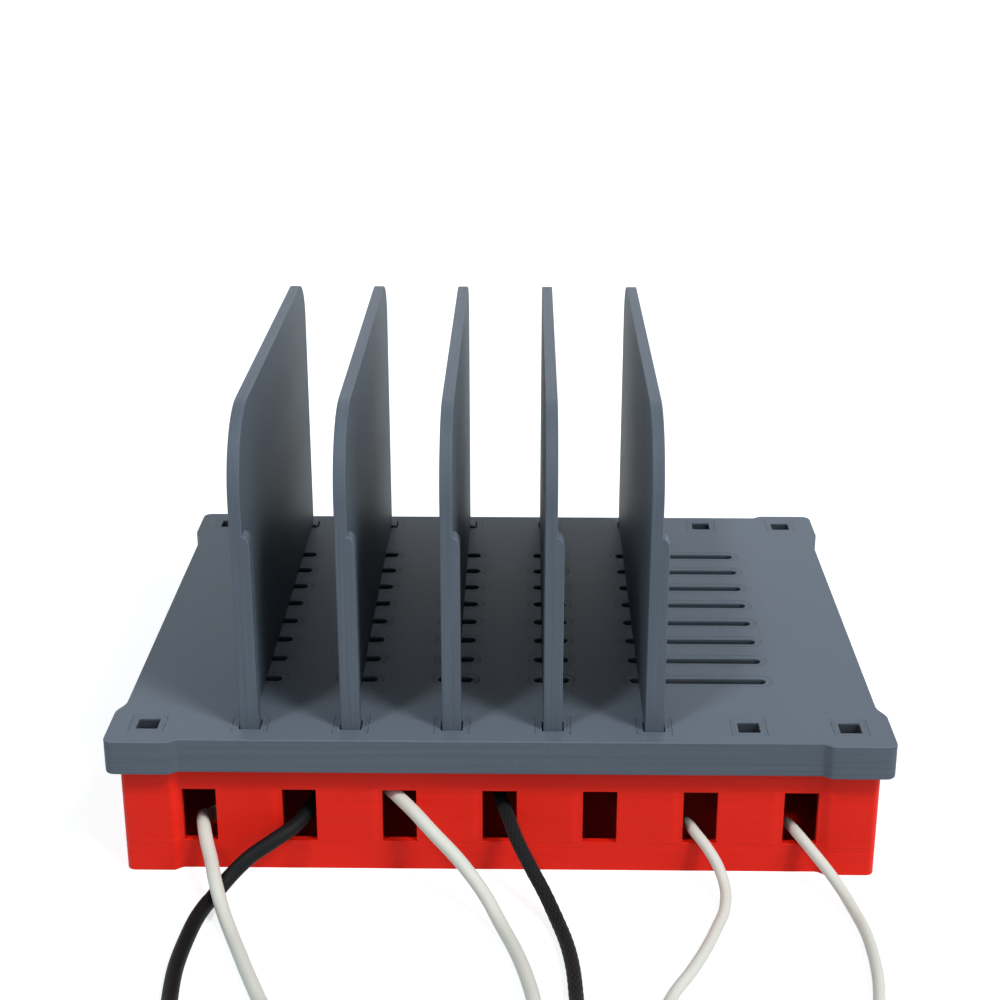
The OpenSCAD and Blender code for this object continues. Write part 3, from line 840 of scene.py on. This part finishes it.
def add_cords():
    """The six free cords, each resting where its solid lies."""
    made = []
    for i, diameter in enumerate(CORD_DIAMETERS):
        r = diameter / 2 * MM
        slot = SLOT_OF[f"cord_{i + 1}"]
        braided = slot == "black_braid"
        path = smooth_path(route(i), BRAID_STEP if braided else CORD_STEP, Vector((0, -1, 0)))
        for p in path:
            p.z = max(p.z, r)
        name = f"flex_{i + 1}"
        if braided:
            piece = braided_tube(name, path, r, slot)
        else:
            piece = tube(name, path, CORD_SIDES, r, slot)
        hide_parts(f"cord_{i + 1}")
        made.append((piece, path))
    return made


cords = add_cords()


# Plugs and connectors


OUTLINE_POINTS = 64
CREASE = math.radians(40)
RELIEF_RIBS = 4
RELIEF_GROOVE = 0.42
RELIEF_LIP = 0.5
CLOSE_FIT = 0.98


def rounded_outline(w, h, r):
    """Points round a rectangle with rounded corners, evenly numbered so that outlines join up."""
    r = min(r, w / 2 - 1e-6, h / 2 - 1e-6)
    x, y = w / 2 - r, h / 2 - r
    per = OUTLINE_POINTS // 4
    made = []
    for q, (cx, cy) in enumerate(((x, y), (-x, y), (-x, -y), (x, -y))):
        for k in range(per):
            a = math.pi / 2 * (q + k / (per - 1))
            made.append((cx + r * math.cos(a), cy + r * math.sin(a)))
    return made


def circle_outline(r):
    return rounded_outline(2 * r, 2 * r, r)


def loft(name, sections, place, slot):
    """Joins outlines into one closed skin on the base. Each section is (distance, outline), and
    place turns (distance, across, up) into a point."""
    count = len(sections[0][1])
    verts = [place(d, u, v) for d, outline in sections for u, v in outline]
    faces = []
    for k in range(len(sections) - 1):
        faces += ring_faces(k * count, count)
    faces += end_faces(len(sections), count)
    piece = add_mesh(name, verts, faces, "base", slot)
    outward(piece.data)
    piece.data.set_sharp_from_angle(angle=CREASE)
    return piece


def outward(data):
    """Turns all faces to the outside."""
    work = bmesh.new()
    work.from_mesh(data)
    bmesh.ops.recalc_face_normals(work, faces=work.faces)
    work.to_mesh(data)
    work.free()


def relief_profile(length, thick, thin):
    """A strain relief's radius along its length: a taper cut by round grooves."""
    made = []
    steps = RELIEF_RIBS * 8
    for k in range(steps + 1):
        t = k / steps
        radius = thick + (thin - thick) * t**0.8
        groove = max(0.0, math.sin(2 * math.pi * RELIEF_RIBS * t)) ** 0.7 if 0.04 < t < 0.94 else 0.0
        made.append((length * t, radius - RELIEF_GROOVE * groove))
    return made


PLUG = (15.7, 20, 8)
PLUG_ROUND = 2
PLUG_RELIEF = 9
PLUG_RELIEF_THICK = 3.3
PLUG_STEPS = 60
GRIP = (4, 13.6)
RIDGE_PITCH = 1.6
RIDGE_DEPTH = 0.28
PANEL_Y = 9.5


def plug_sections(cord_r):
    """The plug's moulded body from its flat face to its back, then its strain relief."""
    w, length, h = PLUG
    sections = []
    for d, cut in ((0, 0.5), (0.15, 0.2), (0.5, 0)):
        sections.append((d, rounded_outline(w - 2 * cut, h - 2 * cut, PLUG_ROUND - cut)))
    for k in range(1, PLUG_STEPS + 1):
        d = 0.5 + (length - 1.0) * k / PLUG_STEPS
        waist = math.sin(math.pi * min(1, max(0, (d - 2.5) / 14))) ** 2
        back = max(0.0, (d - 14) / 6) ** 2
        width = w - 1.0 * waist - 3.2 * back
        gripped = GRIP[0] < d < GRIP[1]
        ridge = RIDGE_DEPTH * abs(math.sin(math.pi * (d - GRIP[0]) / RIDGE_PITCH)) if gripped else 0.0
        outline = []
        for u, v in rounded_outline(width, h - 1.0 * back, PLUG_ROUND + 0.6 * back):
            grip = max(0.0, 1 - (abs(u) / 5.0) ** 6) if gripped and abs(v) > 3 else 0.0
            outline.append((u, v - math.copysign(grip * (0.1 + ridge), v)))
        sections.append((d, outline))
    sections.append((length, rounded_outline(w - 5.4, h - 1.9, 2.8)))
    for d, r in relief_profile(PLUG_RELIEF, PLUG_RELIEF_THICK, cord_r + RELIEF_LIP):
        sections.append((length + d, circle_outline(r)))
    sections.append((length + PLUG_RELIEF, circle_outline(cord_r * CLOSE_FIT)))
    return sections


def add_plug(i):
    middle = port_x(CORD_PORTS[i])

    def place(d, u, v):
        return Vector((middle + u, PANEL_Y - d, PORT_Z + v)) * MM

    node = f"usb_plug_{i + 1}"
    piece = loft(f"moulded_plug_{i + 1}", plug_sections(CORD_DIAMETERS[i] / 2), place, SLOT_OF[node])
    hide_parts(node)
    return piece


CONNECTOR_RELIEF = 8
CONNECTOR_STEPS = 40
CONNECTOR_SIZES = {"oval": (17, 10.6, 6), "wedge": (17, 10.6, 6), "tab": (12.5, 7.8, 5)}
TIP_SIZES = {"oval": (6.6, 8.3, 2.5), "wedge": (5.2, 6.9, 1.9), "tab": (6.6, 6.7, 1.5)}
TIP_WALL = 0.3
TIP_FLOOR = 0.8
TIP_CORE_START = 0.5
TAB_ROUND = 1.5
CONTACTS = 8
CONTACT_PITCH = 0.62
CONTACT_MIDDLE = 3.0
CONTACT_SIZE = (2.6, 0.36)
CONTACT_THICK = 0.02


def cord_end_place(path):
    """Turns (distance past the cord's end, across, up) in millimetres into a point."""
    end = path[-1]
    along = (path[-1] - path[-2]).to_2d().normalized()

    def place(d, u, v):
        flat = along * d + Vector((-along.y, along.x)) * u
        return Vector((end.x + flat.x * MM, end.y + flat.y * MM, end.z + v * MM))

    return place


def add_connector(i, path):
    kind = CORD_KINDS[i]
    length, w, h = CONNECTOR_SIZES[kind]
    cord_r = CORD_DIAMETERS[i] / 2
    thick = h / 2 - RELIEF_LIP
    profile = relief_profile(CONNECTOR_RELIEF, cord_r + RELIEF_LIP / 2, thick)
    sections = [(0, circle_outline(cord_r * CLOSE_FIT))]
    sections += [(d, circle_outline(r)) for d, r in profile]
    for k in range(CONNECTOR_STEPS + 1):
        d = length * k / CONNECTOR_STEPS
        start = max(0.0, 1 - d / 5) ** 2.2
        end = max(0.0, (d - length + 0.8) / 0.8) ** 2
        waist = 0.35 * math.sin(math.pi * min(1, max(0, (d - 4) / (length - 6)))) ** 2
        width = w - (w - 2 * thick) * start - 0.9 * end - 2 * waist
        height = h - (h - 2 * thick) * start - 0.7 * end
        sections.append((CONNECTOR_RELIEF + d, rounded_outline(width, height, h * 0.42)))
    node = f"connector_{i + 1}"
    piece = loft(f"moulded_connector_{i + 1}", sections, cord_end_place(path), SLOT_OF[node])
    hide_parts(node)
    return piece


def hollow_tip(outline, inner, length):
    """The sections of a metal sleeve: out along its outside and back along its inside."""
    return [
        (0, outline),
        (length - 0.25, outline),
        (length, [(u * 0.985, v * 0.95) for u, v in outline]),
        (length, [(u * 1.01, v * 1.03) for u, v in inner]),
        (length - 0.2, inner),
        (TIP_FLOOR, inner),
    ]


def wedge_outline(w, h, cut):
    """A flat-topped outline with its lower corners cut, with points spread along its sides."""
    x, y = w / 2, h / 2
    corners = [(x, 0), (x, y), (-x, y), (-x, 0), (cut - x, -y), (x - cut, -y)]
    lengths = [math.dist(a, b) for a, b in zip(corners, corners[1:] + corners[:1])]
    total = sum(lengths)
    made = []
    for k in range(OUTLINE_POINTS):
        d = total * k / OUTLINE_POINTS
        side = 0
        while d > lengths[side]:
            d -= lengths[side]
            side += 1
        a, b = corners[side], corners[(side + 1) % len(corners)]
        t = d / lengths[side]
        made.append((a[0] + (b[0] - a[0]) * t, a[1] + (b[1] - a[1]) * t))
    return made


def tab_outline(w, h, d, length):
    """The tab's section at a distance along it: its front corners are rounded in plan."""
    into = max(0.0, d - (length - TAB_ROUND))
    narrow = TAB_ROUND - math.sqrt(max(0.0, TAB_ROUND**2 - into**2))
    edge = max(0.0, d - (length - 0.25)) / 0.25 * 0.12
    return rounded_outline(w - 2 * narrow, h - 2 * edge, 0.35)


def tip_core(name, place, sections):
    """The tongue inside a hollow tip. Each section is (distance, width, height, up)."""
    shape = []
    for d, w, h, up in sections:
        shape.append((d, [(u, v + up) for u, v in rounded_outline(w, h, 0.1)]))
    loft(name, shape, place, "black_plug")


def add_tip(i, path):
    """The connector's metal end with what shows in or on it."""
    kind = CORD_KINDS[i]
    length, w, h = TIP_SIZES[kind]
    base_place = cord_end_place(path)
    start = CONNECTOR_RELIEF + CONNECTOR_SIZES[kind][0]

    def place(d, u, v):
        return base_place(start + d, u, v)

    node = f"connector_tip_{i + 1}"
    name = f"metal_tip_{i + 1}"
    core_name = f"tip_core_{i + 1}"
    inner_w, inner_h = w - 2 * TIP_WALL, h - 2 * TIP_WALL
    if kind == "tab":
        stops = [length * k / 24 for k in range(20)] + [length - 0.9 + 0.1 * k for k in range(10)]
        sections = [(d, tab_outline(w, h, d, length)) for d in sorted(set(stops))]
        piece = loft(name, sections, place, SLOT_OF[node])
        add_contacts(f"contacts_{i + 1}", h / 2, place)
    elif kind == "oval":
        outer = rounded_outline(w, h, h / 2)
        inner = rounded_outline(inner_w, inner_h, h / 2 - TIP_WALL)
        piece = loft(name, hollow_tip(outer, inner, length), place, SLOT_OF[node])
        ends = (TIP_CORE_START, 6.2, 0.7, 0), (length - 1.4, 6.2, 0.7, 0), (length - 1.2, 6.0, 0.5, 0)
        tip_core(core_name, place, ends)
    else:
        outer = wedge_outline(w, h, 0.8)
        inner = wedge_outline(inner_w, inner_h, 0.7)
        piece = loft(name, hollow_tip(outer, inner, length), place, SLOT_OF[node])
        tip_core(core_name, place, ((TIP_CORE_START, 5.2, 0.5, 0.25), (length - 0.8, 5.2, 0.5, 0.25)))
    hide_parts(node)
    return piece


def add_contacts(name, surface, place):
    """Thin gold pads on both faces of the tab. surface is how far the faces are from its middle."""
    verts = []
    faces = []
    run, wide = CONTACT_SIZE[0] / 2, CONTACT_SIZE[1] / 2
    corners = ((-run, -wide), (run, -wide), (run, wide), (-run, wide))
    for k in range(CONTACTS):
        across = (k - (CONTACTS - 1) / 2) * CONTACT_PITCH
        for up in (-surface, surface):
            low = len(verts)
            for v in (up - CONTACT_THICK, up + CONTACT_THICK):
                verts += [place(CONTACT_MIDDLE + d, across + u, v) for d, u in corners]
            faces += [(low + 3, low + 2, low + 1, low), (low + 4, low + 5, low + 6, low + 7)]
            faces += ring_faces(low, 4)
    piece = add_mesh(name, verts, faces, "base", "plug_metal", GOLD)
    outward(piece.data)


def add_cord_ends():
    for i, (piece, path) in enumerate(cords):
        plug = add_plug(i)
        connector = add_connector(i, path)
        tip = add_tip(i, path)
        sleeve = frame["nodes"][f"plug_shell_{i + 1}"]


add_cord_ends()


# Printed parts

EDGE = 0.3 * MM
TRAY_EDGE = 0.16 * MM

remade("printed_tray", "base_tray", "base", TRAY_EDGE)
remade("printed_lid", "lid_deck", "lid", EDGE)
for k in range(1, 6):
    remade(f"printed_divider_{k}", f"divider_{k}", f"divider_{k}", EDGE, DIVIDER_SLATE)


# Charger

for part, node, edge in (
    ("charger_case_bottom", "charger_bottom_shell", 0.35),
    ("charger_case_top", "charger_top_shell", 0.35),
    ("charger_face", "charger_front_panel", 0.2),
    ("charger_pads", "charger_feet", 0.3),
    ("power_socket", "mains_inlet", 0.2),
):
    remade(part, node, "base", edge * MM)

for node, piece in frame["nodes"].items():
    if not piece.hide_render:
        piece.data.materials.clear()
        piece.data.materials.append(MATERIALS[SLOT_OF[node]])


# Stage and light

FLOOR_HALF = 8.0
WORLD_LIGHT = (0.2, 0.25, 0.275)
FLOOR_SHADE = (0.56, 0.6, 0.6)
FLOOR_LIFT = 0.67

# Each sun's way round from the front towards the right, height, strength and spread, with the
# angles in degrees
SUNS = (
    (50, 52, 1.5, 12),
    (50, 25, 0.9, 30),
    (-41, 60, 1.05, 8),
    (180, 25, 0.24, 40),
)


def camera_share(tree):
    """1 for what the camera sees straight, in a mirror or through glass, and 0 for light."""
    path = tree.nodes.new("ShaderNodeLightPath")
    share = path.outputs["Is Camera Ray"]
    for name in ("Is Glossy Ray", "Is Transmission Ray"):
        either = tree.nodes.new("ShaderNodeMath")
        either.operation = "MAXIMUM"
        tree.links.new(share, either.inputs[0])
        tree.links.new(path.outputs[name], either.inputs[1])
        share = either.outputs[0]
    return share


def add_world():
    world = bpy.data.worlds.new("studio")
    world.use_nodes = True
    bpy.context.scene.world = world
    tree = world.node_tree
    shown = tree.nodes.new("ShaderNodeMixRGB")
    tree.links.new(camera_share(tree), shown.inputs["Fac"])
    shown.inputs["Color1"].default_value = (*WORLD_LIGHT, 1)
    shown.inputs["Color2"].default_value = (1, 1, 1, 1)
    tree.links.new(shown.outputs["Color"], tree.nodes["Background"].inputs["Color"])


def add_floor():
    """A white table that keeps the object's shadow."""
    paint = Paint("white_table")
    diffuse = paint.node("ShaderNodeBsdfDiffuse")
    diffuse.inputs["Color"].default_value = (*FLOOR_SHADE, 1)
    glow = paint.node("ShaderNodeEmission")
    lift = paint.math("MULTIPLY", Field(paint, camera_share(paint.tree)), FLOOR_LIFT)
    paint.set(glow.inputs["Strength"], lift)
    both = paint.node("ShaderNodeAddShader")
    paint.tree.links.new(diffuse.outputs[0], both.inputs[0])
    paint.tree.links.new(glow.outputs[0], both.inputs[1])
    out = paint.node("ShaderNodeOutputMaterial")
    paint.tree.links.new(both.outputs[0], out.inputs["Surface"])
    data = bpy.data.meshes.new("table")
    h = FLOOR_HALF
    data.from_pydata([(-h, -h, 0), (h, -h, 0), (h, h, 0), (-h, h, 0)], [], [(0, 1, 2, 3)])
    data.materials.append(paint.material)
    floor = bpy.data.objects.new("table", data)
    bpy.context.scene.collection.objects.link(floor)


def add_suns():
    for k, (round_from_front, height, strength, spread) in enumerate(SUNS):
        data = bpy.data.lights.new(f"lamp_{k}", "SUN")
        data.energy = strength
        data.angle = math.radians(spread)
        lamp = bpy.data.objects.new(f"lamp_{k}", data)
        lamp.rotation_euler = (math.radians(90 - height), 0, math.radians(round_from_front))
        bpy.context.scene.collection.objects.link(lamp)


add_world()
add_floor()
add_suns()
bpy.context.scene.view_settings.view_transform = "Standard"
